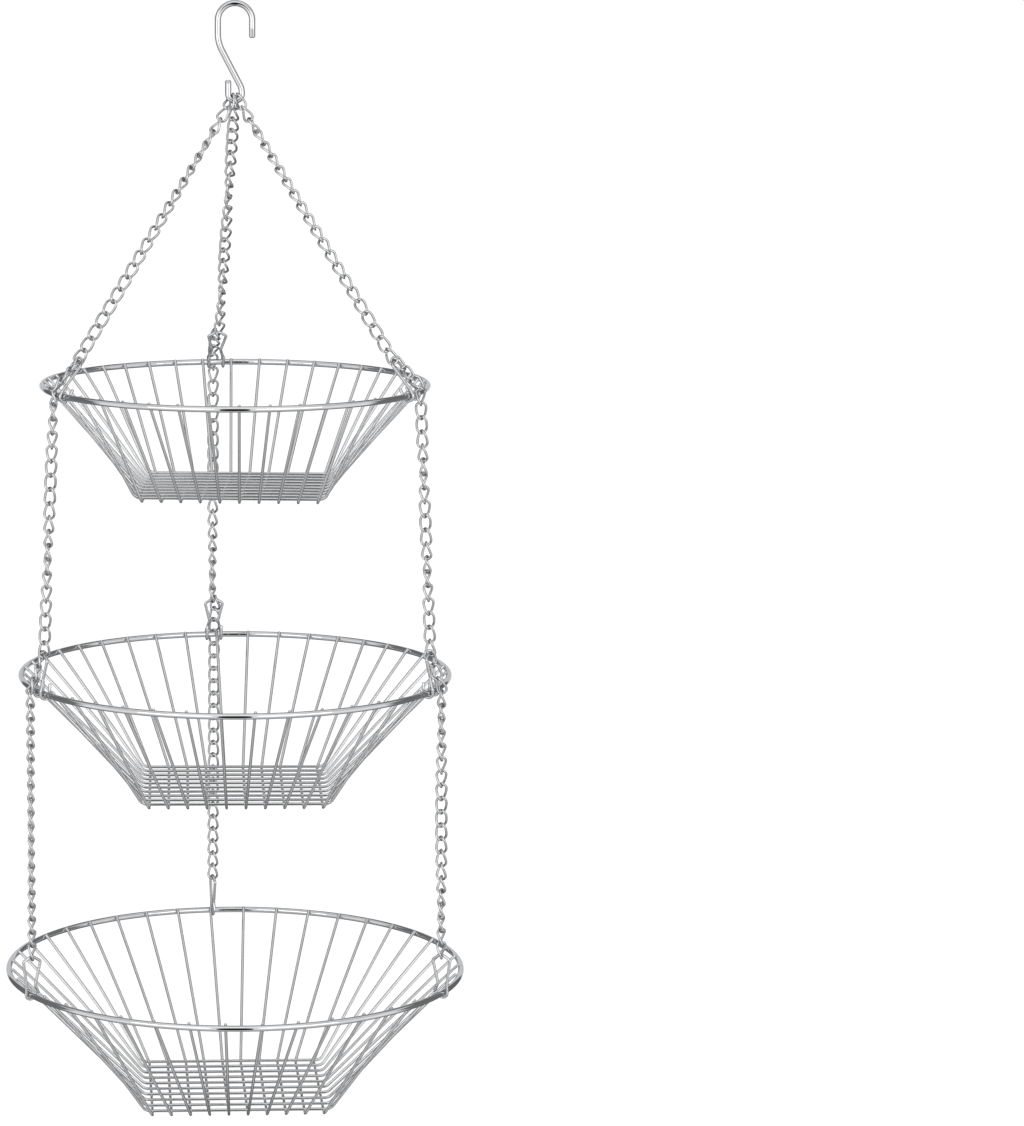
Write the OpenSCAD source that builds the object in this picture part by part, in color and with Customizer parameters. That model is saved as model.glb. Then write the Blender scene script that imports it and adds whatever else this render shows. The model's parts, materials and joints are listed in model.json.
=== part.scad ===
// Three-tier hanging fruit basket of chromed steel wire.
// Millimetres, +Z up. The origin is where the hook's inner top rests on its rail.

/* [Heights] */
// Height from the top rim to the hook's seat
top_drop = 249; // [225:0.5:275]
// Height from the middle rim to the top rim
middle_drop = 195.2; // [170:0.2:230]
// Height from the bottom rim to the middle rim
bottom_drop = 202.8; // [175:0.2:240]

/* [Baskets] */
// Outer diameter of the top rim
top_rim_d = 260; // [250:1:266]
// Outer diameter of the middle rim
middle_rim_d = 291; // [284:1:298]
// Outer diameter of the bottom rim
bottom_rim_d = 311; // [304:1:320]
// Depth of the top basket, rim centre-line to feet
top_depth = 71; // [60:1:90]
// Depth of the middle basket, rim centre-line to feet
middle_depth = 80; // [65:1:100]
// Depth of the bottom basket, rim centre-line to feet
bottom_depth = 87; // [70:1:110]
// Turn of the top basket's grid about the vertical, degrees
top_turn = -3.3; // [-3.4:0.1:-3]
// Turn of the middle basket's grid
middle_turn = 0.8; // [0.5:0.1:1]
// Turn of the bottom basket's grid
bottom_turn = 2.2; // [1.8:0.1:2.4]

/* [Wires] */
// Diameter of the rim wire
rim_wire = 4.1; // [3.6:0.1:4.4]
// Diameter of the grid wires
grid_wire = 2; // [1.6:0.1:2.4]
// Distance between neighbouring grid wires
grid_pitch = 12.75; // [11.5:0.25:13]
// Grid wires in each direction
grid_count = 10; // [8:2:10]
// Distance from the basket's axis to the corner where a wire turns up
bottom_half = 62; // [60:1:66]
// Bend radius where a grid wire turns up
grid_bend = 6; // [4:0.5:8]
// Length of a wire beyond the place where it touches the rim
tip_reach = 1; // [0.4:0.1:1.5]
// Gap left at a weld
weld_gap = 0.05; // [0.02:0.01:0.1]

/* [Hook] */
// Diameter of the hook wire
hook_wire = 4.1; // [3.8:0.1:4.2]
// Inner radius of the hook's arc
hook_inner_r = 9.2; // [8:0.2:12]
// Length of the free end below the arc's centre
hook_tip_drop = 11.4; // [5:0.2:16]
// Inner radius of the closed eye
eye_inner_r = 2.4; // [2.4:0.05:2.8]
// Height from the eye's centre to the hook's seat
eye_drop = 57; // [50:1:70]
// Length of the eye's tail above the eye's centre
eye_tail = 9; // [6:0.5:10.5]

/* [Chain] */
// Diameter of the chain wire
link_wire = 1.7; // [1.5:0.1:1.7]
// Inner width of a link
link_inner_w = 4.9; // [4.8:0.1:5.2]
// Inner length of a link
link_inner_l = 9.5; // [9.4:0.1:9.8]
// Least play between two links where one bears on the other
link_gap = 0.16; // [0.1:0.02:0.2]

/* [Clips] */
// Diameter of the clip wire
clip_wire = 2; // [1.8:0.1:2]
// Height of a clip's top over the rim centre-line
clip_height = 25.6; // [24:0.2:28]
// Half the distance between a clip's two feet
clip_foot_half = 5; // [4.9:0.1:5.3]
// Half the width of a clip at its waist
clip_waist_half = 3; // [3:0.1:3.4]
// Half the width of a clip at its shoulders
clip_shoulder_half = 6.2; // [6:0.1:6.6]
// Gap between a clip's foot and the rim
clip_gap = 0.15; // [0.12:0.01:0.25]
// Direction of the left clips, degrees from +X
left_at = 208; // [206:1:209]
// Direction of the right clips
right_at = -26; // [-27:1:-25]
// Direction of the back clips
back_at = 96; // [95:0.5:96]
// Lean of the top clips toward the hook
top_lean = 30; // [26:1:34]
// Lean of the middle and the bottom clips
lower_lean = 3; // [2:1:5]

/* [Hidden] */
$fn = 48;
rim_d = [top_rim_d, middle_rim_d, bottom_rim_d];
depth = [top_depth, middle_depth, bottom_depth];
turn = [top_turn, middle_turn, bottom_turn];
clip_at = [left_at, right_at, back_at];
lean = [top_lean, lower_lean, lower_lean];

rim_r = [for (d = rim_d) (d - rim_wire) / 2];
link_w = link_inner_w + 2 * link_wire;
link_half = (link_inner_l - link_inner_w) / 2;
// Longest distance from link to link
link_most = link_inner_l - link_gap;
// Play of the first and the over-rim links, and of each link on its clip's wire
bend_play = 0.3;
link_pitch = link_inner_l - bend_play;
link_bend = (link_inner_w + link_wire) / 2;
// From a link's lower bend centre to its bearing point in a chain of link_pitch
link_seat = link_bend - link_wire / 2 - (link_inner_l - link_pitch) / 2;
kink_gap = 0.1;
// Angle on the rim between neighbouring wire ends
end_step = 90 / grid_count;
chrome = [0.80, 0.81, 0.83];
bright = [0.88, 0.89, 0.90];
shade = [0.66, 0.67, 0.70];

// How the hook's slanted leg lies between its two corners, from the eye's centre
leg_top = 33.5;
leg_foot = 3.5;
leg_bend = 6;

// A bend is thicker by bend_swell than the straight that enters it by bend_overlap
bend_swell = 0.02;
bend_overlap = 0.1;
// Straight left between two bends that would otherwise meet
bend_rest = 0.05;

// Links of each over-rim stretch, and how far it stays out from the rim's centre-line
over_links = 3;
over_room = 2.2;
over_clear = rim_wire / 2 + link_w / 2 + over_room;
// Sideways place on a clip's top of the chain that comes from above
side_in = [-1.1, 1.1, 0];

// Clip profile in its own frame: x out from the rim's centre-line, y along it, z up
peak_bend = 4;
shoulder_bend = 1.5;
knee_bend = 2;
shoulder_drop = 4;
waist_out = 1;
waist_height = 9.5;
knee_height = 2.4;
free_end_height = 7;
foot_out = (rim_wire + clip_wire) / 2 + clip_gap;
foot_bend = foot_out - bend_rest;
peak_half_turn = atan2(shoulder_drop, clip_shoulder_half);
peak_corner = clip_height + peak_bend * (1 / cos(peak_half_turn) - 1);
// Bottom clips lie across the rim: their inner leg ends beside the hook of the outer one
across_knee = 6.2;
across_end = [-6, 0, 0.6];
across_hook_end = 1.2;
// Turn of each bottom clip about its own upright line, away from the wire end beside it
across_turn = [0, 0, 10];

// Heights down the unit
eye_z = -eye_drop;
eye_r = eye_inner_r + hook_wire / 2;
bear = (clip_wire + bend_play) / 2;

// The first links hang in the eye at poses chosen by hand, from the eye's centre:
// where a link bears on the hook, where it holds the second link, and its width's direction
first_top = [[-1.77, 1.08, -1.06], [1.71, 1.02, -1.02], [-0.05, -1.77, -2.87]];
first_out = [5.5, 5.5, 4.4];
first_down = [-8.8, -8.8, -9.57];
first_width = [[-0.169, 0.915, -0.366], [0.149, 0.926, -0.347], [0.02, 0.738, 0.675]];

function unit(v) = v / norm(v);
// Point in the frame of one clip direction: out, along, up
function at_clip(a, p) = [p[0] * cos(a) - p[1] * sin(a), p[0] * sin(a) + p[1] * cos(a), p[2]];
// Point of a clip after it leans inward about the rim's centre-line
function leaned(p, l) = [p[0] * cos(l) - p[2] * sin(l), p[1], p[0] * sin(l) + p[2] * cos(l)];
// Centre of a clip's wire at its top, at a sideways place
function clip_top(tier, side) =
  leaned([0, side, clip_height - peak_bend + sqrt(pow(peak_bend, 2) - pow(side, 2))], lean[tier]);
// Direction of an over-rim stretch: it passes the rim's centre-line at over_clear
function over_angle(tier) =
  let (c = clip_top(tier, side_in[tier]))
  atan2(-c[0], c[2]) + asin(over_clear / norm([c[0], c[2]]));
function over_dir(tier) = [sin(over_angle(tier)), 0, -cos(over_angle(tier))];
function over_end(tier) = [rim_r[tier], 0, rim_z[tier]]
  + clip_top(tier, -side_in[tier]) + over_dir(tier) * (over_links * link_pitch - bear);

// Place of the first links
function first_end(i) = [first_out[i] * cos(clip_at[i]), first_out[i] * sin(clip_at[i]),
  eye_z + first_down[i]];
function first_start(i) =
  let (e = first_end(i), t = first_top[i] + [0, 0, eye_z])
  e + unit(t - e) * link_pitch;

// Where the upper chains bear on the top clips, from the rim's centre
top_contact = clip_top(0, side_in[0]);
rim_z = [-top_drop, -top_drop - middle_drop, -top_drop - middle_drop - bottom_drop];
function upper_end(i) =
  let (c = at_clip(clip_at[i], top_contact + [rim_r[0], 0, rim_z[0]]))
  c + unit(c - first_end(i)) * bear;

// Ends of a hanging run in the frame of its clip direction. Its first link hangs kink_gap
// lower than it would in a straight chain, as it meets the over-rim stretch at an angle.
function run_start(tier) =
  over_end(tier) - over_dir(tier) * link_seat + [0, 0, -link_seat - kink_gap];
function run_end(tier) =
  let (c = clip_top(tier + 1, side_in[tier + 1]) + [rim_r[tier + 1], 0, rim_z[tier + 1]])
  c + unit(c - run_start(tier)) * bear;

// Number of links that fill a run
function links_in(length) = ceil(length / link_most);
upper_links = [for (i = [0, 1, 2]) links_in(norm(upper_end(i) - first_end(i)))];
hang_links = [for (t = [0, 1]) links_in(norm(run_end(t) - run_start(t)))];

// Grid wires: ends on the rim, corners at the bottom
function grid_place(i) = i - (grid_count - 1) / 2;
function rim_tip(corner, a, r) =
  let (h = [r * cos(a) - corner[0], r * sin(a) - corner[1], 0])
  let (k = (rim_wire + grid_wire) / 2 + weld_gap)
  let (reach = norm([norm(h), corner[2]]))
  let (rise = atan2(-corner[2], norm(h)) + asin(k / reach))
  let (dir = unit(h) * cos(rise) + [0, 0, sin(rise)])
  corner + dir * (sqrt(pow(reach, 2) - pow(k, 2)) + tip_reach);
// A wire that runs along Y; the ones along X are the same, turned by 90 degrees
function grid_path(i, r, z) =
  let (x = grid_place(i) * grid_pitch, a = grid_place(i) * end_step)
  let (far = [x, bottom_half, z], near = [x, -bottom_half, z])
  [rim_tip(far, 90 - a, r), far, near, rim_tip(near, a - 90, r)];

// Frame with its origin, x and z directions given
module frame(o, x, z) {
  y = cross(z, x);
  multmatrix([
    [x[0], y[0], z[0], o[0]],
    [x[1], y[1], z[1], o[1]],
    [x[2], y[2], z[2], o[2]],
    [0, 0, 0, 1]
  ])
    children();
}

// Any direction square to v
function beside(v) = abs(v[2]) > 0.9 ? unit(cross([0, 1, 0], v)) : unit(cross([0, 0, 1], v));

// Round wire along a path of points, with one bend radius for each inner corner.
// Bends are a hair thicker than the straights that end inside them.
module wire(points, radii, d) {
  last = len(points) - 1;
  half = [for (k = [0:last]) (k == 0 || k == last) ? 0 :
    acos(-unit(points[k - 1] - points[k]) * unit(points[k + 1] - points[k])) / 2];
  cut = [for (k = [0:last]) (k == 0 || k == last) ? 0 : radii[k - 1] * tan(half[k])];
  for (k = [0:last - 1]) {
    dir = unit(points[k + 1] - points[k]);
    run = norm(points[k + 1] - points[k]) - cut[k] - cut[k + 1];
    before = k == 0 ? 0 : bend_overlap;
    after = k == last - 1 ? 0 : bend_overlap;
    frame(points[k] + dir * (cut[k] - before), beside(dir), dir)
      cylinder(h = run + before + after, d = d - bend_swell);
  }
  for (k = [1:last - 1]) {
    back = unit(points[k - 1] - points[k]);
    ahead = unit(points[k + 1] - points[k]);
    centre = points[k] + unit(back + ahead) * radii[k - 1] / cos(half[k]);
    from = unit(points[k] + back * cut[k] - centre);
    normal = unit(cross(ahead, back));
    frame(centre, from, normal)
      rotate_extrude(angle = 2 * half[k])
        translate([radii[k - 1], 0])
          circle(d = d);
  }
}

// One oval link between two bearing points, its width along the given direction
module link(a, b, width) {
  up = unit(a - b);
  side = unit(width - (width * up) * up);
  frame((a + b) / 2, side, up)
    for (m = [0, 1])
      mirror([0, 0, m]) {
        translate([0, 0, link_half])
          rotate([90, 0, 0])
            rotate_extrude(angle = 180)
              translate([link_bend, 0])
                circle(d = link_wire);
        translate([m * 2 * link_bend - link_bend, 0, -link_half])
          cylinder(h = 2 * link_half, d = link_wire);
      }
}

// Straight chain between two bearing points; every other link is turned by 90 degrees,
// and extra turn is spread over the whole chain
module chain(a, b, count, width, extra = 0) {
  up = unit(a - b);
  first = unit(width - (width * up) * up);
  across = cross(up, first);
  for (k = [0:count - 1]) {
    turned = k * (90 + extra / max(1, count - 1));
    link(a + (b - a) * k / count, a + (b - a) * (k + 1) / count,
      first * cos(turned) + across * sin(turned));
  }
}

module hook() {
  top_r = hook_inner_r + hook_wire / 2;
  leg_x = -top_r;
  color(bright)
    wire([
      [top_r, 0, -hook_inner_r - hook_tip_drop],
      [top_r, 0, hook_wire / 2],
      [leg_x, 0, hook_wire / 2],
      [leg_x, 0, eye_z + leg_top],
      [eye_r, 0, eye_z + leg_foot],
      [eye_r, 0, eye_z - eye_r],
      [-eye_r, 0, eye_z - eye_r],
      [-eye_r, 0, eye_z + eye_tail]
    ], [
      top_r - bend_rest, top_r - bend_rest, leg_bend, leg_bend,
      eye_r - bend_rest, eye_r - bend_rest
    ], hook_wire);
}

module first_links() {
  color(chrome)
    for (i = [0, 1, 2])
      link(first_start(i), first_end(i), first_width[i]);
}

// Chain from a first link to a top clip
module upper_chain(i) {
  count = upper_links[i];
  odd = count % 2;
  out = at_clip(clip_at[i], [1, 0, 0]);
  color(chrome)
    chain(upper_end(i), first_end(i), count, out, i == 2 ? 90 * odd : 90 * (1 - odd));
}

module rim(tier) {
  color(bright)
    translate([0, 0, rim_z[tier]])
      rotate_extrude($fn = 96)
        translate([rim_r[tier], 0])
          circle(d = rim_wire);
}

// The ten wires that run front to back and carry the basket's feet
module under_wires(tier) {
  color(chrome)
    translate([0, 0, rim_z[tier]])
      rotate([0, 0, turn[tier]])
        for (i = [0:grid_count - 1])
          wire(grid_path(i, rim_r[tier], grid_wire / 2 - depth[tier]), [grid_bend, grid_bend], grid_wire);
}

// The ten wires that run left to right, on top of the others
module over_wires(tier) {
  color(shade)
    translate([0, 0, rim_z[tier]])
      rotate([0, 0, turn[tier] + 90])
        for (i = [0:grid_count - 1])
          wire(grid_path(i, rim_r[tier], 1.5 * grid_wire + weld_gap - depth[tier]),
            [grid_bend, grid_bend], grid_wire);
}

// One bent wire: two feet hook round the rim, a loop above them holds the chains
module clip(tier, i) {
  half = [
    [-foot_out, clip_foot_half, free_end_height],
    [-foot_out, clip_foot_half, -foot_out],
    [foot_out, clip_foot_half, -foot_out],
    [foot_out, clip_foot_half, knee_height],
    [waist_out, clip_waist_half, waist_height],
    [0, clip_shoulder_half, peak_corner - shoulder_drop]
  ];
  other = [for (k = [len(half) - 1:-1:0]) [half[k][0], -half[k][1], half[k][2]]];
  path = concat(half, [[0, 0, peak_corner]], other);
  color(bright)
    rotate([0, 0, clip_at[i]])
      translate([rim_r[tier], 0, rim_z[tier]])
        wire([for (p = path) leaned(p, lean[tier])],
          [
            foot_bend, foot_bend, knee_bend, knee_bend, shoulder_bend, peak_bend,
            shoulder_bend, knee_bend, knee_bend, foot_bend, foot_bend
          ], clip_wire);
}

// One bent wire across the rim: one leg outside that hooks under it, one leg inside
module bottom_clip(i) {
  shoulder = peak_corner - shoulder_drop;
  path = [
    across_end,
    [-foot_out, 0, across_knee],
    [-clip_shoulder_half, 0, shoulder],
    [0, 0, peak_corner],
    [clip_shoulder_half, 0, shoulder],
    [foot_out, 0, across_knee],
    [foot_out, 0, -foot_out],
    [-foot_out, 0, -foot_out],
    [-foot_out, 0, across_hook_end]
  ];
  color(bright)
    rotate([0, 0, clip_at[i]])
      translate([rim_r[2], 0, rim_z[2]])
        wire([for (p = path) leaned(at_clip(across_turn[i], p), lean[2])],
          [
            knee_bend, shoulder_bend, peak_bend, shoulder_bend, knee_bend, foot_bend, foot_bend
          ], clip_wire);
}

// Three links from a clip's top to the rim's outer side
module over_chain(tier, i) {
  c = clip_top(tier, -side_in[tier]) + [rim_r[tier], 0, rim_z[tier]];
  a = c - over_dir(tier) * bear;
  color(chrome)
    rotate([0, 0, clip_at[i]])
      chain(a, over_end(tier), over_links, [1, 0, 0]);
}

// Part of a hanging run, from one bearing point to another, counted from its top
module run_part(tier, i, from, to) {
  a = run_start(tier);
  b = run_end(tier);
  n = hang_links[tier];
  // the last link lies square to its clip's top wire
  step = 90 + ((n + tier) % 2 == 0 ? 0 : 90 / (n - 1));
  across = cross(unit(a - b), [0, 1, 0]);
  color(from == 0 ? shade : chrome)
    rotate([0, 0, clip_at[i]])
      for (k = [from:to - 1])
        link(a + (b - a) * k / n, a + (b - a) * (k + 1) / n,
          [0, 1, 0] * cos(k * step) + across * sin(k * step));
}

hook();
first_links();
upper_chain(0);  // upper_chain_left
upper_chain(1);  // upper_chain_right
upper_chain(2);  // upper_chain_back

rim(0);  // top_rim
under_wires(0);  // top_under_wires
over_wires(0);  // top_over_wires
clip(0, 0);  // top_clip_left
clip(0, 1);  // top_clip_right
clip(0, 2);  // top_clip_back
over_chain(0, 0);  // top_over_chain_left
over_chain(0, 1);  // top_over_chain_right
over_chain(0, 2);  // top_over_chain_back

run_part(0, 0, 0, 1);  // middle_swivel_left
run_part(0, 1, 0, 1);  // middle_swivel_right
run_part(0, 2, 0, 1);  // middle_swivel_back
run_part(0, 0, 1, hang_links[0] - 1);  // middle_chain_left
run_part(0, 1, 1, hang_links[0]);  // middle_chain_right
run_part(0, 2, 1, hang_links[0]);  // middle_chain_back
run_part(0, 0, hang_links[0] - 1, hang_links[0]);  // middle_end_link
rim(1);  // middle_rim
under_wires(1);  // middle_under_wires
over_wires(1);  // middle_over_wires
clip(1, 0);  // middle_clip_left
clip(1, 1);  // middle_clip_right
clip(1, 2);  // middle_clip_back
over_chain(1, 0);  // middle_over_chain_left
over_chain(1, 1);  // middle_over_chain_right
over_chain(1, 2);  // middle_over_chain_back

run_part(1, 0, 0, 1);  // bottom_swivel_left
run_part(1, 1, 0, 1);  // bottom_swivel_right
run_part(1, 2, 0, 1);  // bottom_swivel_back
run_part(1, 0, 1, hang_links[1] - 1);  // bottom_chain_left
run_part(1, 1, 1, hang_links[1]);  // bottom_chain_right
run_part(1, 2, 1, hang_links[1]);  // bottom_chain_back
run_part(1, 0, hang_links[1] - 1, hang_links[1]);  // bottom_end_link
rim(2);  // bottom_rim
under_wires(2);  // bottom_under_wires
over_wires(2);  // bottom_over_wires
bottom_clip(0);  // bottom_clip_left
bottom_clip(1);  // bottom_clip_right
bottom_clip(2);  // bottom_clip_back
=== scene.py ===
import json
import math
import bpy
from mathutils import Matrix, Vector

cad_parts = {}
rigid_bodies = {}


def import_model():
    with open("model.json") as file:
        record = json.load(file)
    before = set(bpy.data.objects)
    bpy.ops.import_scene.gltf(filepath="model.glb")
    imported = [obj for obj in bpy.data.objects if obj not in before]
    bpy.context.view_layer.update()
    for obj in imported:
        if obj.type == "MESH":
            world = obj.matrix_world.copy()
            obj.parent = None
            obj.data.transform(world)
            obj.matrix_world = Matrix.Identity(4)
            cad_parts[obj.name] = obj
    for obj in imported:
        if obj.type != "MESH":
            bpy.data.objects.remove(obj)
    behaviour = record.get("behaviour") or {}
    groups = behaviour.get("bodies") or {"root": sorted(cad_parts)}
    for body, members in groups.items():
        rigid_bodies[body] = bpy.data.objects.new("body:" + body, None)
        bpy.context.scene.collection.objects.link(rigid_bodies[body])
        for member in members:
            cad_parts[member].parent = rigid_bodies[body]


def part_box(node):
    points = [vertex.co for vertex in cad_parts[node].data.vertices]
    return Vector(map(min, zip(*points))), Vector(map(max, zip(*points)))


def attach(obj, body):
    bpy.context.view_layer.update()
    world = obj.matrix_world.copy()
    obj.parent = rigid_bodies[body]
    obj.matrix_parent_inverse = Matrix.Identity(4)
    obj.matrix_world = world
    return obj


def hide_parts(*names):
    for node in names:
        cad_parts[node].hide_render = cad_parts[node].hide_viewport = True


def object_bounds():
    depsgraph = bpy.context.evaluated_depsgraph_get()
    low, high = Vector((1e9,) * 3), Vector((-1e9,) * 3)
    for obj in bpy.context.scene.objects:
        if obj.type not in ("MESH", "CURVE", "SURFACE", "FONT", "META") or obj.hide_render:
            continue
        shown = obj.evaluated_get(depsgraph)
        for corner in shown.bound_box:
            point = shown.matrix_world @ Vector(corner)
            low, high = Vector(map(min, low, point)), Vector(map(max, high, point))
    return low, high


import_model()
cadBox = [list(corner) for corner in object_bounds()]
mm = 0.001
up = Vector((0, 0, 1))
sides = ("left", "right", "back")
tiers = ("top", "middle", "bottom")

# Sizes that the solids were made with, repeated here for the parts' paths
clips = {
    "azimuths": (208, -26, 96),  # degrees from +X, in the order of sides
    "leans": (30, 3, 3),  # degrees toward the hook, by tier
    "height": 25.6 * mm,
    "footHalf": 5 * mm,
    "waistHalf": 3 * mm,
    "shoulderHalf": 6.2 * mm,
    "shoulderDrop": 4 * mm,
    "waistOut": 1 * mm,
    "waistHeight": 9.5 * mm,
    "kneeHeight": 2.4 * mm,
    "freeEndHeight": 7 * mm,
    "gap": 0.15 * mm,
    "wire": 2 * mm,
    "peakBend": 4 * mm,
    "kneeBend": 2 * mm,
    "shoulderBend": 1.5 * mm,
    "chainPlaces": (-1.1 * mm, 1.1 * mm, 0.0),  # sideways place of the chain from above
    "acrossKnee": 6.2 * mm,  # the bottom clips lie across the rim
    "acrossEnd": (-6 * mm, 0, 0.6 * mm),
    "acrossHookEnd": 1.2 * mm,
    "acrossTurns": (0, 0, 10),  # degrees about each clip's upright line
}
grid = {
    "turns": (-3.3, 0.8, 2.2),  # degrees, by tier
    "wire": 2 * mm,
    "pitch": 12.75 * mm,
    "count": 10,
    "bottomHalf": 62 * mm,
    "bend": 6 * mm,
    "endStep": 9,
    "reach": 0.5 * mm,
    "weldGap": 0.05 * mm,
}
hookShape = {
    "wire": 4.1 * mm,
    "innerRadius": 9.2 * mm,
    "tipDrop": 11.4 * mm,
    "eyeDrop": 57 * mm,
    "eyeInner": 2.4 * mm,
    "eyeTail": 9 * mm,
    "legTop": 33.5 * mm,
    "legFoot": 3.5 * mm,
    "legTopBend": 24 * mm,
    "legFootBend": 11 * mm,
}
chains = {
    "wire": 1.7 * mm,
    "innerWidth": 4.9 * mm,
    "innerLength": 9.5 * mm,
    "pitch": 9.2 * mm,
    "most": 9.34 * mm,  # longest distance from link to link
    "bear": 1.15 * mm,  # from a clip wire's centre to the place where a link bears on it
    "overLinks": 3,
    "overClear": 2.2 * mm,
    "kinkGap": 0.1 * mm,
    "twist": 90,  # degrees from a link's upper bend to its lower bend
    # how far a chain's links are turned: pairs of the place in it, from 0 to 1, and the degrees
    "upperTurns": (((0, -85), (0.1, -135), (1, -240)),  # from facing the front, in the order of sides
                   ((0, 86), (0.1, 28), (0.75, -5), (1, -75)),
                   ((0, -90), (0.1, -50), (0.15, -55), (1, -375))),
    "runTurns": ((((0, 29), (1, -270)), ((0, 26), (1, -425)), ((0, 90), (1, -60))),  # from outward, by tier
                 (((0, 42), (1, 0)), ((0, -90), (1, -325)), ((0, 45), (1, 0)))),
    "firstTop": ((-1.77, 1.08, -1.06), (1.71, 1.02, -1.02), (-0.05, -1.77, -2.87)),  # mm from the eye
    "firstOut": (5.5 * mm, 5.5 * mm, 4.4 * mm),
    "firstDown": (-8.8 * mm, -8.8 * mm, -9.57 * mm),
    "firstWidth": ((-0.169, 0.915, -0.366), (0.149, 0.926, -0.347), (0.02, 0.738, 0.675)),
}


def rimOf(tier):
    low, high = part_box(tier + "_rim")
    wire = high[2] - low[2]
    return (high[1] - low[1] - wire) / 2, (high[2] + low[2]) / 2, wire


rims = [rimOf(tier) for tier in tiers]
rimRadius = [rim[0] for rim in rims]
rimHeight = [rim[1] for rim in rims]
rimWire = rims[0][2]
gridFloor = [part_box(tier + "_under_wires")[0][2] for tier in tiers]
eyeHeight = -hookShape["eyeDrop"]


# Materials

def newMaterial(name):
    material = bpy.data.materials.new(name)
    material.use_nodes = True
    tree = material.node_tree
    return material, tree, tree.nodes["Principled BSDF"]


def chromeMaterial(name, colour, roughness, mottle, bump, scale):
    material, tree, shader = newMaterial(name)
    nodes, links = tree.nodes, tree.links
    shader.inputs["Metallic"].default_value = 1.0
    shader.inputs["Specular Tint"].default_value = (0.65, 0.655, 0.67, 1)
    place = nodes.new("ShaderNodeTexCoord")
    cloud = nodes.new("ShaderNodeTexNoise")
    cloud.inputs["Scale"].default_value = scale
    cloud.inputs["Detail"].default_value = 4
    links.new(place.outputs["Object"], cloud.inputs["Vector"])
    gloss = nodes.new("ShaderNodeMapRange")
    gloss.inputs["From Min"].default_value = 0.35
    gloss.inputs["From Max"].default_value = 0.7
    gloss.inputs["To Min"].default_value = roughness * (1 - mottle)
    gloss.inputs["To Max"].default_value = roughness * (1 + mottle)
    links.new(cloud.outputs["Fac"], gloss.inputs["Value"])
    links.new(gloss.outputs["Result"], shader.inputs["Roughness"])
    tint = nodes.new("ShaderNodeMapRange")
    tint.data_type = "FLOAT_VECTOR"
    tint.inputs[7].default_value = (0.3, 0.3, 0.3)
    tint.inputs[8].default_value = (0.7, 0.7, 0.7)
    tint.inputs[9].default_value = [c * 0.94 for c in colour]
    tint.inputs[10].default_value = colour
    links.new(cloud.outputs["Fac"], tint.inputs[6])
    links.new(tint.outputs["Vector"], shader.inputs["Base Color"])
    drawn = nodes.new("ShaderNodeTexNoise")
    drawn.inputs["Scale"].default_value = 900
    drawn.inputs["Detail"].default_value = 2
    links.new(place.outputs["Object"], drawn.inputs["Vector"])
    relief = nodes.new("ShaderNodeBump")
    relief.inputs["Strength"].default_value = bump
    relief.inputs["Distance"].default_value = 0.00004
    links.new(drawn.outputs["Fac"], relief.inputs["Height"])
    links.new(relief.outputs["Normal"], shader.inputs["Normal"])
    return material


# One chrome, with base colours made lighter or darker by part as painted light: lighter on the rims and grid for a
# painted highlight, darker on the chain for painted shade between its links, and darkest on the welds. Roughness and
# relief also differ by part.
finishesAndPaintedLight = {
    "rim": chromeMaterial("rimChrome", (0.67, 0.675, 0.685), 0.05, 0.25, 0.05, 60),
    "hook": chromeMaterial("hookChrome", (0.62, 0.625, 0.635), 0.07, 0.25, 0.08, 90),
    "grid": chromeMaterial("gridChrome", (0.64, 0.645, 0.655), 0.1, 0.25, 0.1, 80),
    "clip": chromeMaterial("clipChrome", (0.6, 0.605, 0.615), 0.07, 0.25, 0.08, 120),
    "chain": chromeMaterial("chainChrome", (0.58, 0.585, 0.595), 0.08, 0.3, 0.1, 150),
    "weld": chromeMaterial("weldChrome", (0.56, 0.565, 0.575), 0.18, 0.3, 0.4, 300),
}
print("materials made:", len(finishesAndPaintedLight))


# Geometry Nodes

class Tree:  # a node tree with named inputs, wired by short calls
    def __init__(self, name, inputs):
        self.tree = bpy.data.node_groups.new(name, "GeometryNodeTree")
        face = self.tree.interface
        face.new_socket("Geometry", in_out="INPUT", socket_type="NodeSocketGeometry")
        self.ids = {}
        for label, kind, value in inputs:
            socket = face.new_socket(label, in_out="INPUT", socket_type="NodeSocket" + kind)
            if value is not None:
                socket.default_value = value
            self.ids[label] = socket.identifier
        face.new_socket("Geometry", in_out="OUTPUT", socket_type="NodeSocketGeometry")
        self.inputs = self.tree.nodes.new("NodeGroupInput")
        self.output = self.tree.nodes.new("NodeGroupOutput")

    def add(self, kind, settings=None, **sockets):
        node = self.tree.nodes.new(kind)
        for key, value in (settings or {}).items():
            setattr(node, key, value)
        for key, value in sockets.items():
            label = key.replace("_", " ")
            target = node.inputs[int(label[1:])] if label[0] == "i" and label[1:].isdigit() else node.inputs[label]
            self.put(target, value)
        return node

    def put(self, target, value):
        if isinstance(value, bpy.types.NodeSocket):
            self.tree.links.new(value, target)
        elif isinstance(value, bpy.types.Node):
            self.tree.links.new(value.outputs[0], target)
        else:
            target.default_value = value

    def given(self, label):
        return self.inputs.outputs[label]

    def math(self, operation, a, b=0.0):
        return self.add("ShaderNodeMath", {"operation": operation}, i0=a, i1=b)

    def named(self, label, kind="FLOAT"):
        return self.add("GeometryNodeInputNamedAttribute", {"data_type": kind}, Name=label).outputs["Attribute"]

    def finish(self, geometry):
        smooth = self.add("GeometryNodeSetShadeSmooth", Geometry=geometry)
        real = self.add("GeometryNodeRealizeInstances", Geometry=smooth)
        painted = self.add("GeometryNodeSetMaterial", Geometry=real, Material=self.given("Material"))
        self.tree.links.new(painted.outputs[0], self.output.inputs[0])
        return self


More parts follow.
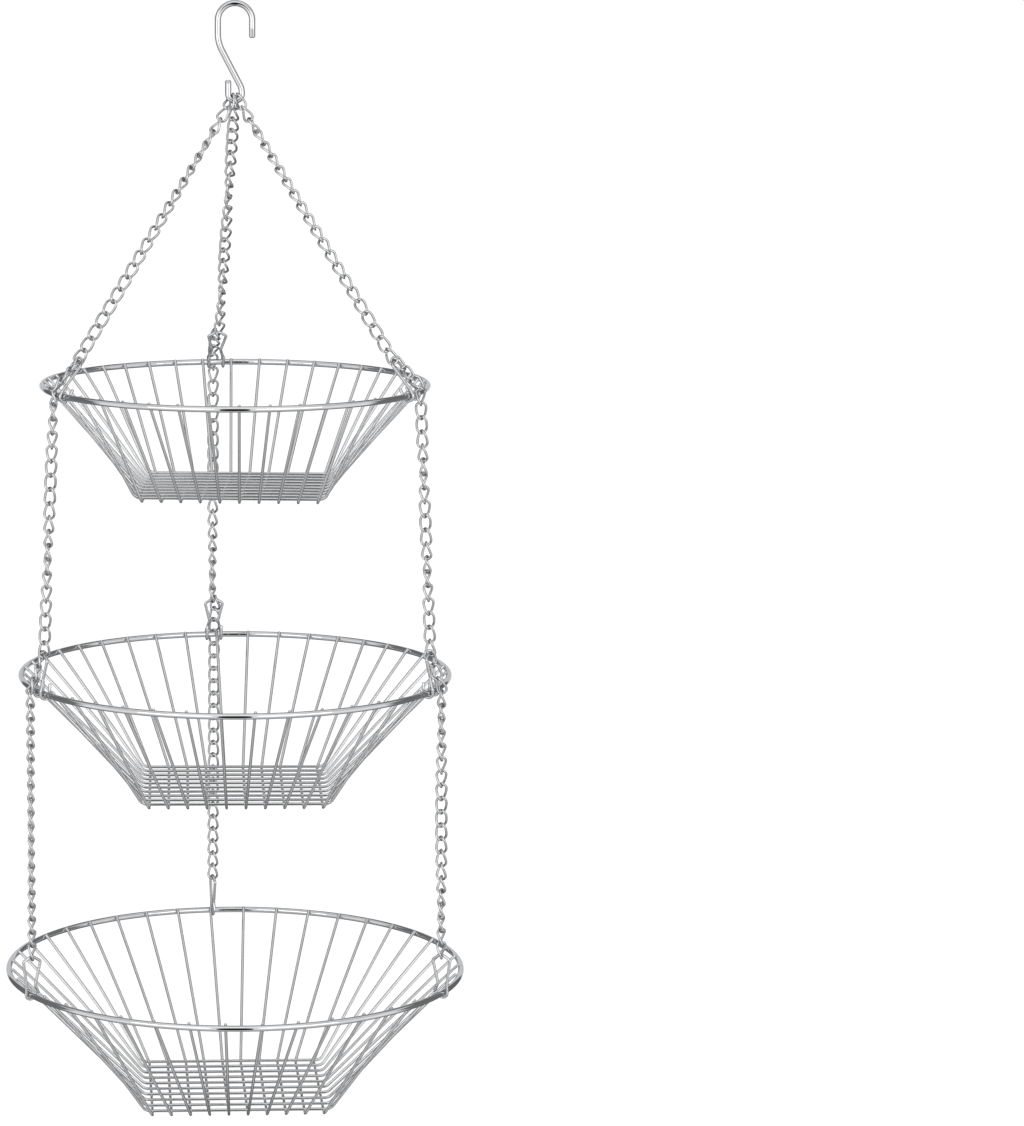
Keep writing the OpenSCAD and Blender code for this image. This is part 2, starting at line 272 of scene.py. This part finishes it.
def twistedLinkTree():
    t = Tree("twistedLinks", (
        ("Wire", "Float", chains["wire"]), ("Inner Width", "Float", chains["innerWidth"]),
        ("Inner Length", "Float", chains["innerLength"]), ("Twist", "Float", math.radians(chains["twist"])),
        ("Steps Along", "Int", 34), ("Steps Round", "Int", 10), ("Material", "Material", None)))
    wire = t.given("Wire")
    width = t.math("ADD", t.given("Inner Width"), wire)
    length = t.math("ADD", t.given("Inner Length"), wire)
    outline = t.add("GeometryNodeCurvePrimitiveQuadrilateral", {"mode": "RECTANGLE"}, Width=width, Height=length)
    rounded = t.add("GeometryNodeFilletCurve", {"mode": "POLY"}, Curve=outline, Count=8,
                    Radius=t.math("MULTIPLY", width, 0.499), Limit_Radius=True)
    even = t.add("GeometryNodeResampleCurve", {"mode": "COUNT"}, Curve=rounded, Count=t.given("Steps Along"))
    place = t.add("GeometryNodeInputPosition")
    axes = t.add("ShaderNodeSeparateXYZ", Vector=place)
    along = t.math("DIVIDE", axes.outputs["Y"], length)  # from -1/2 to 1/2
    turn = t.math("MULTIPLY", along, t.math("MULTIPLY", t.given("Twist"), -1.0))
    upright = t.add("ShaderNodeCombineXYZ", X=axes.outputs["X"], Z=axes.outputs["Y"])
    turned = t.add("ShaderNodeVectorRotate", {"rotation_type": "Z_AXIS"}, Vector=upright, Angle=turn)
    bent = t.add("GeometryNodeSetPosition", Geometry=even, Position=turned)
    profile = t.add("GeometryNodeCurvePrimitiveCircle", {"mode": "RADIUS"}, Resolution=t.given("Steps Round"),
                    Radius=t.math("MULTIPLY", wire, 0.5))
    solid = t.add("GeometryNodeCurveToMesh", Curve=bent, Profile_Curve=profile.outputs["Curve"])
    turnTo = t.add("FunctionNodeAxesToRotation", {"primary_axis": "Z", "secondary_axis": "X"})
    t.put(turnTo.inputs[0], t.named("linkUp", "FLOAT_VECTOR"))
    t.put(turnTo.inputs[1], t.named("linkWide", "FLOAT_VECTOR"))
    placed = t.add("GeometryNodeInstanceOnPoints", Points=t.given("Geometry"), Instance=solid, Rotation=turnTo)
    return t.finish(placed)


def bentWireTree():
    t = Tree("bentWires", (
        ("Wire", "Float", 2 * mm), ("Bend Steps", "Int", 7), ("Steps Round", "Int", 12),
        ("Material", "Material", None)))
    path = t.add("GeometryNodeMeshToCurve", Mesh=t.given("Geometry"))
    rounded = t.add("GeometryNodeFilletCurve", {"mode": "POLY"}, Curve=path, Count=t.given("Bend Steps"),
                    Radius=t.named("bend"), Limit_Radius=True)
    profile = t.add("GeometryNodeCurvePrimitiveCircle", {"mode": "RADIUS"}, Resolution=t.given("Steps Round"),
                    Radius=t.math("MULTIPLY", t.given("Wire"), 0.5))
    solid = t.add("GeometryNodeCurveToMesh", Curve=rounded, Profile_Curve=profile.outputs["Curve"], Fill_Caps=True)
    if "Scale" in solid.inputs:
        t.put(solid.inputs["Scale"], t.named("thick"))
    return t.finish(solid)


def weldTree():
    t = Tree("weldNuggets", (
        ("Size", "Float", 1 * mm), ("Flatten", "Float", 0.8), ("Material", "Material", None)))
    ball = t.add("GeometryNodeMeshUVSphere", Segments=12, Rings=8, Radius=t.given("Size"))
    flat = t.add("ShaderNodeCombineXYZ", X=1.0, Y=1.0, Z=t.given("Flatten"))
    turnTo = t.add("FunctionNodeAxesToRotation", {"primary_axis": "Z", "secondary_axis": "X"})
    t.put(turnTo.inputs[0], t.named("linkUp", "FLOAT_VECTOR"))
    t.put(turnTo.inputs[1], t.named("linkWide", "FLOAT_VECTOR"))
    placed = t.add("GeometryNodeInstanceOnPoints", Points=t.given("Geometry"), Instance=ball.outputs["Mesh"],
                   Rotation=turnTo, Scale=flat)
    return t.finish(placed)


linkTree = twistedLinkTree()
wireTree = bentWireTree()
nuggetTree = weldTree()
print("node trees made")


def carved(name, source, tree, finish, values):
    carrier = bpy.data.objects.new(name + "Source", source)
    bpy.context.scene.collection.objects.link(carrier)
    modifier = carrier.modifiers.new("shape", "NODES")
    modifier.node_group = tree.tree
    for label, value in values.items():
        modifier[tree.ids[label]] = value
    modifier[tree.ids["Material"]] = finishesAndPaintedLight[finish]
    evaluated = carrier.evaluated_get(bpy.context.evaluated_depsgraph_get())
    mesh = bpy.data.meshes.new_from_object(evaluated)
    carrier.modifiers.remove(modifier)
    bpy.data.objects.remove(carrier)
    bpy.data.meshes.remove(source)
    piece = bpy.data.objects.new(name, mesh)
    bpy.context.scene.collection.objects.link(piece)
    return piece


def pointMesh(places, ups, wides):
    mesh = bpy.data.meshes.new("points")
    mesh.from_pydata(places, [], [])
    for label, vectors in (("linkUp", ups), ("linkWide", wides)):
        layer = mesh.attributes.new(label, "FLOAT_VECTOR", "POINT")
        layer.data.foreach_set("vector", [c for v in vectors for c in v])
    return mesh


def pathMesh(paths):  # each path is a list of (point, bend radius, thickness) in order
    points, edges, bends, thick = [], [], [], []
    for path in paths:
        start = len(points)
        points += [p[0] for p in path]
        bends += [p[1] for p in path]
        thick += [p[2] for p in path]
        edges += [(start + k, start + k + 1) for k in range(len(path) - 1)]
    mesh = bpy.data.meshes.new("paths")
    mesh.from_pydata(points, edges, [])
    for label, values in (("bend", bends), ("thick", thick)):
        mesh.attributes.new(label, "FLOAT", "POINT").data.foreach_set("value", values)
    return mesh


tipRounding = ((0.0, 0.62), (0.1, 0.86), (0.28, 1.0))  # distance from the end over the wire's width, thickness


def wirePath(points, radii, wire):  # rounds both cut ends
    def cap(end, inner):
        way = (inner - end).normalized()
        return [(end + way * wire * far, 0.0, thick) for far, thick in tipRounding]
    middle = [(point, radius, 1.0) for point, radius in zip(points[1:-1], radii)]
    return cap(points[0], points[1]) + middle + cap(points[-1], points[-2])[::-1]


def stand(piece, body, *nodes):
    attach(piece, body)
    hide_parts(*nodes)


# Layout, the same as the solids have

def atClip(side, point):
    return Matrix.Rotation(math.radians(clips["azimuths"][side]), 3, "Z") @ Vector(point)


def clipTop(tier, place):
    lean = math.radians(clips["leans"][tier])
    rise = clips["height"] - clips["peakBend"] + math.sqrt(clips["peakBend"] ** 2 - place ** 2)
    return Vector((-rise * math.sin(lean), place, rise * math.cos(lean)))


def overWay(tier):
    top = clipTop(tier, clips["chainPlaces"][tier])
    clear = rimWire / 2 + chains["innerWidth"] / 2 + chains["wire"] + chains["overClear"]
    angle = math.atan2(-top.x, top.z) + math.asin(clear / math.hypot(top.x, top.z))
    return Vector((math.sin(angle), 0, -math.cos(angle)))


def rimPoint(tier):
    return Vector((rimRadius[tier], 0, rimHeight[tier]))


def overStart(tier):
    return clipTop(tier, -clips["chainPlaces"][tier]) + rimPoint(tier) - overWay(tier) * chains["bear"]


def overEnd(tier):
    return overStart(tier) + overWay(tier) * chains["overLinks"] * chains["pitch"]


def runStart(tier):
    seat = (chains["innerWidth"] - chains["innerLength"] + chains["pitch"]) / 2
    return overEnd(tier) - overWay(tier) * seat - up * (seat + chains["kinkGap"])


def runEnd(tier):
    top = clipTop(tier + 1, clips["chainPlaces"][tier + 1]) + rimPoint(tier + 1)
    return top + (top - runStart(tier)).normalized() * chains["bear"]


def firstEnd(side):
    out = atClip(side, (chains["firstOut"][side], 0, 0))
    return out + up * (eyeHeight + chains["firstDown"][side])


def firstStart(side):
    top = Vector(chains["firstTop"][side]) * mm + up * eyeHeight
    return firstEnd(side) + (top - firstEnd(side)).normalized() * chains["pitch"]


def upperEnd(side):
    top = atClip(side, clipTop(0, clips["chainPlaces"][0]) + rimPoint(0))
    return top + (top - firstEnd(side)).normalized() * chains["bear"]


def linkCount(start, end):
    return math.ceil((end - start).length / chains["most"])


# Chains: every link is twisted by a quarter turn, so that all links of a run look alike

def spread(knots, count, base=0.0):  # the turn of each link, in radians
    turns = []
    for k in range(count):
        place = k / max(1, count - 1)
        for (a, low), (b, high) in zip(knots, knots[1:]):
            if place <= b:
                break
        turns.append(base + math.radians(low + (high - low) * (place - a) / (b - a)))
    return turns


def runLinks(start, end, reference, turns):
    rows = []
    rise = (start - end).normalized()
    across = (reference - reference.dot(rise) * rise).normalized()
    other = rise.cross(across)
    for k, turn in enumerate(turns):
        angle = turn + math.radians(chains["twist"]) / 2
        wide = across * math.cos(angle) + other * math.sin(angle)
        rows.append((start + (end - start) * (k + 0.5) / len(turns), rise, wide))
    return rows


def makeChain(name, body, node, rows):
    source = pointMesh([r[0] for r in rows], [r[1] for r in rows], [r[2] for r in rows])
    piece = carved(name, source, linkTree, "chain", {})
    stand(piece, body, node)
    return piece


def turnOf(direction, rise, reference):
    across = (reference - reference.dot(rise) * rise).normalized()
    return math.atan2(direction.dot(rise.cross(across)), direction.dot(across))


firstRows = []
for side, sideName in enumerate(sides):
    out = atClip(side, (1, 0, 0))
    start, end = firstStart(side), firstEnd(side)
    turn = turnOf(Vector(chains["firstWidth"][side]), (start - end).normalized(), out)
    firstRows += runLinks(start, end, out, [turn])
    chainEnd = upperEnd(side)
    rise = (end - chainEnd).normalized()
    facing = turnOf(rise.cross(Vector((0, 1, 0))), rise, out)
    turns = spread(chains["upperTurns"][side], linkCount(end, chainEnd), facing)
    makeChain("upperChain" + sideName.title(), "top_basket", "upper_chain_" + sideName,
              runLinks(end, chainEnd, out, turns))
makeChain("firstLinks", "top_basket", "first_links", firstRows)

for tier, above in ((0, "top"), (1, "middle")):
    below = tiers[tier + 1]
    for side, sideName in enumerate(sides):
        out = atClip(side, (1, 0, 0))
        overTop, overFoot, start, end = [
            atClip(side, p) for p in (overStart(tier), overEnd(tier), runStart(tier), runEnd(tier))]
        over, count = chains["overLinks"], linkCount(start, end)
        knots = chains["runTurns"][tier][side]
        overTurns = spread(((0, 0), (1, knots[0][1])), over + 1)[:over]
        makeChain(above + "OverChain" + sideName.title(), above + "_basket", above + "_over_chain_" + sideName,
                  runLinks(overTop, overFoot, out, overTurns))
        rows = runLinks(start, end, out, spread(knots, count))
        last = count - 1 if side == 0 else count
        stem = below + "_" + sideName
        makeChain(below + "Swivel" + sideName.title(), stem + "_swivel", below + "_swivel_" + sideName, rows[:1])
        makeChain(below + "Chain" + sideName.title(), stem + "_chain", below + "_chain_" + sideName, rows[1:last])
        if side == 0:
            makeChain(below + "EndLink", stem + "_end", below + "_end_link", rows[last:])
print("chains made")


# Baskets

def gridPlace(k):
    return k - (grid["count"] - 1) / 2


def rimTip(corner, azimuth, radius):
    flat = Vector((radius * math.cos(azimuth) - corner.x, radius * math.sin(azimuth) - corner.y, 0))
    apart = (rimWire + grid["wire"]) / 2 + grid["weldGap"]
    away = math.hypot(flat.length, corner.z)
    rise = math.atan2(-corner.z, flat.length) + math.asin(apart / away)
    way = flat.normalized() * math.cos(rise) + up * math.sin(rise)
    return corner + way * math.sqrt(away ** 2 - apart ** 2), way


def gridPaths(tier, height, turn):
    spin = Matrix.Rotation(math.radians(turn), 3, "Z")
    lift = up * rimHeight[tier]
    paths, welds = [], []
    for k in range(grid["count"]):
        across = gridPlace(k) * grid["pitch"]
        fan = math.radians(gridPlace(k) * grid["endStep"])
        corners = [Vector((across, s * grid["bottomHalf"], height)) for s in (1, -1)]
        tips = [rimTip(corners[0], math.pi / 2 - fan, rimRadius[tier]),
                rimTip(corners[1], fan - math.pi / 2, rimRadius[tier])]
        ends = [touch + way * grid["reach"] for touch, way in tips]
        points = [spin @ p + lift for p in (ends[0], corners[0], corners[1], ends[1])]
        paths.append(wirePath(points, [grid["bend"]] * 2, grid["wire"]))
        for touch, way in tips:
            ring = Vector((touch.x, touch.y, 0)).normalized() * rimRadius[tier]
            toRim = ring - touch
            seat = touch + toRim.normalized() * grid["wire"] / 2
            welds.append((spin @ seat + lift, spin @ toRim.normalized(), spin @ way))
    return paths, welds


def makeWires(name, body, node, paths, wire, finish, bendSteps=7, stepsRound=12):
    piece = carved(name, pathMesh(paths), wireTree, finish,
                   {"Wire": wire, "Bend Steps": bendSteps, "Steps Round": stepsRound})
    stand(piece, body, node)
    return piece


welding = {
    "rimNugget": 0.85 * mm,
    "rimFlatten": 0.55,
    "crossNugget": 0.85 * mm,
    "crossFlatten": 0.45,
}


def makeWelds(name, body, rows, size, flatten):
    source = pointMesh([r[0] for r in rows], [r[1] for r in rows], [r[2] for r in rows])
    piece = carved(name, source, nuggetTree, "weld", {"Size": size, "Flatten": flatten})
    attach(piece, body)
    return piece


rimShape = {"stepsAlong": 288, "stepsRound": 20, "seamSwell": 0.012, "seamWidth": 1.6, "seamAt": 160}


def makeRim(tier):
    points, faces = [], []
    along, around = rimShape["stepsAlong"], rimShape["stepsRound"]
    for a in range(along):
        azimuth = 2 * math.pi * a / along
        off = (math.degrees(azimuth) - rimShape["seamAt"]) / rimShape["seamWidth"]
        thick = rimWire / 2 * (1 - rimShape["seamSwell"] * (1 - math.exp(-off * off)))
        for b in range(around):
            turn = 2 * math.pi * b / around
            reach = rimRadius[tier] + thick * math.cos(turn)
            points.append((reach * math.cos(azimuth), reach * math.sin(azimuth),
                           rimHeight[tier] + thick * math.sin(turn)))
            nextA, nextB = (a + 1) % along, (b + 1) % around
            faces.append((a * around + b, nextA * around + b, nextA * around + nextB, a * around + nextB))
    mesh = bpy.data.meshes.new(tiers[tier] + "Rim")
    mesh.from_pydata(points, [], faces)
    mesh.shade_smooth()
    mesh.materials.append(finishesAndPaintedLight["rim"])
    piece = bpy.data.objects.new(tiers[tier] + "Rim", mesh)
    bpy.context.scene.collection.objects.link(piece)
    stand(piece, tiers[tier] + "_basket", tiers[tier] + "_rim")


for tier, tierName in enumerate(tiers):
    body = tierName + "_basket"
    makeRim(tier)
    low = gridFloor[tier] + grid["wire"] / 2 - rimHeight[tier]
    high = low + grid["wire"] + grid["weldGap"]
    turn = grid["turns"][tier]
    underPaths, underWelds = gridPaths(tier, low, turn)
    overPaths, overWelds = gridPaths(tier, high, turn + 90)
    makeWires(tierName + "UnderWires", body, tierName + "_under_wires", underPaths, grid["wire"], "grid")
    makeWires(tierName + "OverWires", body, tierName + "_over_wires", overPaths, grid["wire"], "grid")
    makeWelds(tierName + "RimWelds", body, underWelds + overWelds,
              welding["rimNugget"], welding["rimFlatten"])
    spin = Matrix.Rotation(math.radians(turn), 3, "Z")
    crossings = []
    for i in range(grid["count"]):
        for k in range(grid["count"]):
            place = Vector((gridPlace(i) * grid["pitch"], gridPlace(k) * grid["pitch"], (low + high) / 2))
            crossings.append((spin @ place + up * rimHeight[tier], up, Vector((1, 0, 0))))
    makeWelds(tierName + "CrossWelds", body, crossings,
              welding["crossNugget"], welding["crossFlatten"])
print("baskets made")


# Clips and hook

def clipPath(tier, side):
    foot = (rimWire + clips["wire"]) / 2 + clips["gap"]
    tilt = math.atan2(clips["shoulderDrop"], clips["shoulderHalf"])
    peak = clips["height"] + clips["peakBend"] * (1 / math.cos(tilt) - 1)
    half = [(-foot, clips["footHalf"], clips["freeEndHeight"]), (-foot, clips["footHalf"], -foot),
            (foot, clips["footHalf"], -foot), (foot, clips["footHalf"], clips["kneeHeight"]),
            (clips["waistOut"], clips["waistHalf"], clips["waistHeight"]),
            (0, clips["shoulderHalf"], peak - clips["shoulderDrop"])]
    points = half + [(0, 0, peak)] + [(x, -y, z) for x, y, z in half[::-1]]
    lean = Matrix.Rotation(-math.radians(clips["leans"][tier]), 3, "Y")
    bends = [foot * 0.98, foot * 0.98, clips["kneeBend"], clips["kneeBend"], clips["shoulderBend"]]
    placed = [atClip(side, lean @ Vector(p) + rimPoint(tier)) for p in points]
    return wirePath(placed, bends + [clips["peakBend"]] + bends[::-1], clips["wire"])


def acrossPath(side):
    foot = (rimWire + clips["wire"]) / 2 + clips["gap"]
    tilt = math.atan2(clips["shoulderDrop"], clips["shoulderHalf"])
    peak = clips["height"] + clips["peakBend"] * (1 / math.cos(tilt) - 1)
    shoulder = peak - clips["shoulderDrop"]
    points = [clips["acrossEnd"], (-foot, 0, clips["acrossKnee"]), (-clips["shoulderHalf"], 0, shoulder),
              (0, 0, peak), (clips["shoulderHalf"], 0, shoulder), (foot, 0, clips["acrossKnee"]),
              (foot, 0, -foot), (-foot, 0, -foot), (-foot, 0, clips["acrossHookEnd"])]
    lean = Matrix.Rotation(-math.radians(clips["leans"][2]), 3, "Y")
    lean = lean @ Matrix.Rotation(math.radians(clips["acrossTurns"][side]), 3, "Z")
    placed = [atClip(side, lean @ Vector(p) + rimPoint(2)) for p in points]
    return wirePath(placed, [clips["kneeBend"], clips["shoulderBend"], clips["peakBend"], clips["shoulderBend"],
                             clips["kneeBend"], foot * 0.98, foot * 0.98], clips["wire"])


for tier, tierName in enumerate(tiers):
    for side, sideName in enumerate(sides):
        path = acrossPath(side) if tier == 2 else clipPath(tier, side)
        makeWires(tierName + "Clip" + sideName.title(), tierName + "_basket", tierName + "_clip_" + sideName,
                  [path], clips["wire"], "clip", 8, 14)

arc = hookShape["innerRadius"] + hookShape["wire"] / 2
eye = hookShape["eyeInner"] + hookShape["wire"] / 2
hookPoints = [Vector((x, 0, z)) for x, z in (
    (arc, -hookShape["innerRadius"] - hookShape["tipDrop"]), (arc, hookShape["wire"] / 2),
    (-arc, hookShape["wire"] / 2), (-arc, eyeHeight + hookShape["legTop"]),
    (eye, eyeHeight + hookShape["legFoot"]), (eye, eyeHeight - eye), (-eye, eyeHeight - eye),
    (-eye, eyeHeight + hookShape["eyeTail"]))]
makeWires("hook", "hook", "hook", [wirePath(hookPoints, [arc * 0.998, arc * 0.998, hookShape["legTopBend"],
          hookShape["legFootBend"], eye * 0.995, eye * 0.995], hookShape["wire"])], hookShape["wire"], "hook", 16, 24)
print("clips and hook made")


# Studio: white surroundings, pale floor, camera of the photograph

studio = {
    "ambient": 0.8,
    # brightness that metal shows of the camera's side, by height from -1 (floor) to 1 (ceiling)
    "frontShades": ((-1, 0.6), (-0.9, 0.5), (-0.7, 0.55), (-0.45, 0.95), (-0.2, 1), (0.35, 1), (0.6, 0.7),
                    (0.8, 0.8), (0.95, 1), (1, 1)),
    # how far back from the camera the side walls turn dark, by height
    "wallsFrom": ((-1, 0.1), (-0.6, 0.1), (-0.3, -0.1), (0.3, -0.1), (0.6, 0.3), (1, 0.3)),
    "wallEdge": 0.14,
    "wallShade": 0.2,
    "backdropFrom": 0.86,
    "standHalfWidth": 0.155,  # the camera's dark stand
    "standHalfHeight": 0.6,
    "standHeight": -0.14,
    "standShade": 0.01,
    "centre": (0, 0, -0.45),
    "floorGlow": 0.85,
    "floorWhite": 1.13,
    "floorDrop": 0.95,  # metres from the lowest wire to the floor
    "cameraDistance": 2.703,
    "cameraHeight": 0.088,
    "cameraPitch": 9.6,  # degrees down
    "focalPixels": 4099,
    "axisColumn": 235,  # column of the photograph where the unit's axis stands
    "frameWidth": 1024,
    "frameHeight": 1126,
}


class ShaderWiring:  # short calls that add nodes to a shader tree
    def __init__(self, tree):
        self.nodes, self.links = tree.nodes, tree.links

    def put(self, socket, value):
        if isinstance(value, bpy.types.NodeSocket):
            self.links.new(value, socket)
        else:
            socket.default_value = value

    def math(self, operation, a, b=0.0, c=0.0, clamp=False):
        node = self.nodes.new("ShaderNodeMath")
        node.operation = operation
        node.use_clamp = clamp
        for socket, value in zip(node.inputs, (a, b, c)):
            self.put(socket, value)
        return node.outputs[0]

    def blend(self, factor, a, b):
        node = self.nodes.new("ShaderNodeMix")
        for socket, value in zip(node.inputs[:1] + node.inputs[2:4], (factor, a, b)):
            self.put(socket, value)
        return node.outputs[0]

    def half(self, value):  # from the range -1 to 1 to the range 0 to 1
        return self.math("MULTIPLY_ADD", value, 0.5, 0.5)

    def ramp(self, value, stops):
        node = self.nodes.new("ShaderNodeValToRGB")
        points = node.color_ramp.elements
        points.remove(points[1])
        for k, (place, level) in enumerate(stops):
            point = points[0] if k == 0 else points.new(place)
            point.position = place
            point.color = (level, level, level, 1)
        self.put(node.inputs[0], value)
        return node.outputs[0]


def makeStudioShade():  # how bright the studio is in a direction, as metal shows it
    group = bpy.data.node_groups.new("studioShade", "ShaderNodeTree")
    group.interface.new_socket("Direction", in_out="INPUT", socket_type="NodeSocketVector")
    group.interface.new_socket("Brightness", in_out="OUTPUT", socket_type="NodeSocketFloat")
    w = ShaderWiring(group)
    unit = group.nodes.new("ShaderNodeVectorMath")
    unit.operation = "NORMALIZE"
    w.put(unit.inputs[0], group.nodes.new("NodeGroupInput").outputs[0])
    axes = group.nodes.new("ShaderNodeSeparateXYZ")
    w.put(axes.inputs[0], unit.outputs[0])
    side, back, height = axes.outputs
    level = w.half(height)
    depth = w.half(back)
    front = w.ramp(level, [((z + 1) / 2, shade) for z, shade in studio["frontShades"]])
    border = w.ramp(level, [((z + 1) / 2, (y + 1) / 2) for z, y in studio["wallsFrom"]])
    wall = w.math("DIVIDE", w.math("SUBTRACT", depth, border), studio["wallEdge"] / 2, clamp=True)
    backdrop = w.math("MULTIPLY", w.math("SUBTRACT", back, studio["backdropFrom"]), 25, clamp=True)
    offSide = w.math("POWER", w.math("DIVIDE", w.math("ABSOLUTE", side), studio["standHalfWidth"]), 3)
    offHeight = w.math("DIVIDE", w.math("SUBTRACT", height, studio["standHeight"]), studio["standHalfHeight"])
    away = w.math("ADD", offSide, w.math("POWER", w.math("ABSOLUTE", offHeight), 3))
    stand = w.math("MULTIPLY", w.math("SUBTRACT", 1, away), 5, clamp=True)
    stand = w.math("MULTIPLY", stand, w.math("LESS_THAN", back, 0))
    shade = w.blend(wall, front, studio["wallShade"])
    shade = w.blend(backdrop, shade, 1)
    shade = w.blend(stand, shade, studio["standShade"])
    w.put(group.nodes.new("NodeGroupOutput").inputs[0], shade)
    return group


def seenStrength(w, group, direction, path):  # 1 for camera and glass, the studio's shade for metal
    shade = w.nodes.new("ShaderNodeGroup")
    shade.node_tree = group
    w.put(shade.inputs[0], direction)
    return w.blend(path.outputs["Is Glossy Ray"], 1, shade.outputs[0])


def seenBy(w, path, share):  # all of what metal and glass see, and a share of what the camera sees
    camera = w.math("MULTIPLY", path.outputs["Is Camera Ray"], share)
    other = w.math("MAXIMUM", path.outputs["Is Glossy Ray"], path.outputs["Is Transmission Ray"])
    return w.math("MAXIMUM", camera, other)


def makeWorld(group):
    world = bpy.data.worlds.new("studio")
    bpy.context.scene.world = world
    world.use_nodes = True
    w = ShaderWiring(world.node_tree)
    ambient = w.nodes["Background"]
    ambient.inputs["Color"].default_value = (1, 1, 1, 1)
    ambient.inputs["Strength"].default_value = studio["ambient"]
    path = w.nodes.new("ShaderNodeLightPath")
    place = w.nodes.new("ShaderNodeTexCoord")
    white = w.nodes.new("ShaderNodeBackground")
    white.inputs["Color"].default_value = (1, 1, 1, 1)
    w.put(white.inputs["Strength"], seenStrength(w, group, place.outputs["Generated"], path))
    mix = w.nodes.new("ShaderNodeMixShader")
    w.put(mix.inputs["Fac"], seenBy(w, path, 1))
    w.put(mix.inputs[1], ambient.outputs[0])
    w.put(mix.inputs[2], white.outputs[0])
    w.put(w.nodes["World Output"].inputs["Surface"], mix.outputs[0])


def areaLight(name, place, target, width, height, power):
    light = bpy.data.lights.new(name, "AREA")
    light.shape = "RECTANGLE"
    light.size, light.size_y = width, height
    light.energy = power
    lamp = bpy.data.objects.new(name, light)
    lamp.location = place
    lamp.rotation_euler = (Vector(target) - Vector(place)).to_track_quat("-Z", "Y").to_euler()
    bpy.context.scene.collection.objects.link(lamp)


def makeFloor(group):
    mesh = bpy.data.meshes.new("floor")
    z = cadBox[0][2] - studio["floorDrop"]
    size = 30
    mesh.from_pydata([(-size, -size, z), (size, -size, z), (size, size, z), (-size, size, z)], [], [(0, 1, 2, 3)])
    floor = bpy.data.objects.new("floor", mesh)
    bpy.context.scene.collection.objects.link(floor)
    material, tree, shader = newMaterial("floorPaper")
    shader.inputs["Base Color"].default_value = (0.9, 0.9, 0.9, 1)
    shader.inputs["Roughness"].default_value = 0.8
    w = ShaderWiring(tree)
    path = w.nodes.new("ShaderNodeLightPath")
    place = w.nodes.new("ShaderNodeTexCoord")
    way = w.nodes.new("ShaderNodeVectorMath")
    way.operation = "SUBTRACT"
    w.put(way.inputs[0], place.outputs["Object"])
    way.inputs[1].default_value = studio["centre"]
    glow = w.nodes.new("ShaderNodeEmission")
    glow.inputs["Color"].default_value = (1, 1, 1, 1)
    strength = w.math("MULTIPLY", seenStrength(w, group, way.outputs[0], path), studio["floorWhite"])
    w.put(glow.inputs["Strength"], strength)
    mix = w.nodes.new("ShaderNodeMixShader")
    w.put(mix.inputs["Fac"], seenBy(w, path, studio["floorGlow"]))
    w.put(mix.inputs[1], shader.outputs[0])
    w.put(mix.inputs[2], glow.outputs[0])
    w.put(w.nodes["Material Output"].inputs["Surface"], mix.outputs[0])
    mesh.materials.append(material)


def makeCamera():
    camera = bpy.data.cameras.new("camera")
    camera.sensor_fit = "VERTICAL"
    camera.sensor_height = 24
    camera.lens = studio["focalPixels"] / studio["frameHeight"] * camera.sensor_height
    camera.shift_x = (studio["frameWidth"] / 2 - studio["axisColumn"]) / studio["frameHeight"]
    camera.clip_end = 100
    body = bpy.data.objects.new("camera", camera)
    body.location = (0, -studio["cameraDistance"], studio["cameraHeight"])
    body.rotation_euler = (math.radians(90 - studio["cameraPitch"]), 0, 0)
    bpy.context.scene.collection.objects.link(body)
    bpy.context.scene.camera = body


studioShade = makeStudioShade()
makeWorld(studioShade)
makeFloor(studioShade)
makeCamera()
areaLight("topLight", (0, -1.9, 1.5), (0, 0, -0.45), 3.0, 1.5, 6)
areaLight("leftLight", (-1.4, -2.3, 0.0), (0, 0, -0.45), 1.9, 1.3, 9)
areaLight("rightLight", (1.4, -2.3, 0.0), (0, 0, -0.45), 1.9, 1.3, 9)
bpy.context.scene.view_settings.view_transform = "Standard"

print("scene made")
